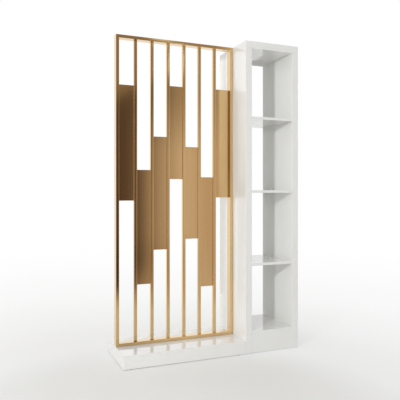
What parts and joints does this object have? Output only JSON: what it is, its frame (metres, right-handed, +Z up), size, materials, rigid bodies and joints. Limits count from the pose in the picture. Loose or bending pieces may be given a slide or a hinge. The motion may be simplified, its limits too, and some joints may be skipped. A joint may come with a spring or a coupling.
{
  "type": "shelving room divider",
  "caption": "Free-standing room divider: an open-backed tower of shelves beside a metal screen of upright bars and staggered panels, on a low plinth.",
  "frame": {"origin": "on the floor, at the middle of the overall plan", "axes": "+Z up; +X along the divider, from the screen to the shelf tower; -Y out of the front"},
  "size_m": [1.184, 0.396, 2],
  "materials": {
    "white_lacquer": "white high-gloss lacquer on fibreboard",
    "gold_steel": "gold-coloured polished hairline stainless tube",
    "bronze_steel": "bronze-coloured stainless sheet with a vertical hairline",
    "raw_board": "bare fibreboard",
    "zinc_steel": "zinc-plated steel",
    "black_nylon": "black nylon"
  },
  "bodies": {
    "root": {"bar_1": "gold_steel", "bar_2": "gold_steel", "bar_3": "gold_steel", "bar_4": "gold_steel", "bar_5": "gold_steel", "bar_6": "gold_steel", "corner_key_bottom_left": "zinc_steel", "corner_key_bottom_right": "zinc_steel", "corner_key_top_left": "zinc_steel", "corner_key_top_right": "zinc_steel", "frame_bottom_rail": "gold_steel", "frame_left_stile": "gold_steel", "frame_right_stile": "gold_steel", "frame_top_rail": "gold_steel", "panel_1_back": "bronze_steel", "panel_1_front": "bronze_steel", "panel_2_back": "bronze_steel", "panel_2_front": "bronze_steel", "panel_3_back": "bronze_steel", "panel_3_front": "bronze_steel", "panel_4_back": "bronze_steel", "panel_4_front": "bronze_steel", "panel_5_back": "bronze_steel", "panel_5_front": "bronze_steel", "panel_6_back": "bronze_steel", "panel_6_front": "bronze_steel", "panel_7_back": "bronze_steel", "panel_7_front": "bronze_steel", "plinth_back": "white_lacquer", "plinth_front": "white_lacquer", "plinth_glide_left_back": "black_nylon", "plinth_glide_left_front": "black_nylon", "plinth_glide_right_back": "black_nylon", "plinth_glide_right_front": "black_nylon", "plinth_joining_screw_back": "zinc_steel", "plinth_joining_screw_front": "zinc_steel", "plinth_left_end": "white_lacquer", "plinth_rib_left": "raw_board", "plinth_rib_right": "raw_board", "plinth_right_end": "white_lacquer", "plinth_screen_bolt_left": "zinc_steel", "plinth_screen_bolt_right": "zinc_steel", "plinth_top": "white_lacquer", "tower_base_back": "white_lacquer", "tower_base_front": "white_lacquer", "tower_bolt_cap_lower": "white_lacquer", "tower_bolt_cap_upper": "white_lacquer", "tower_deck": "white_lacquer", "tower_glide_left_back": "black_nylon", "tower_glide_left_front": "black_nylon", "tower_glide_right_back": "black_nylon", "tower_glide_right_front": "black_nylon", "tower_screen_bolt_lower": "zinc_steel", "tower_screen_bolt_upper": "zinc_steel", "tower_shelf_bottom": "white_lacquer", "tower_shelf_middle": "white_lacquer", "tower_shelf_top": "white_lacquer", "tower_side_left": "white_lacquer", "tower_side_right": "white_lacquer", "tower_top": "white_lacquer"}
  },
  "joints": []
}
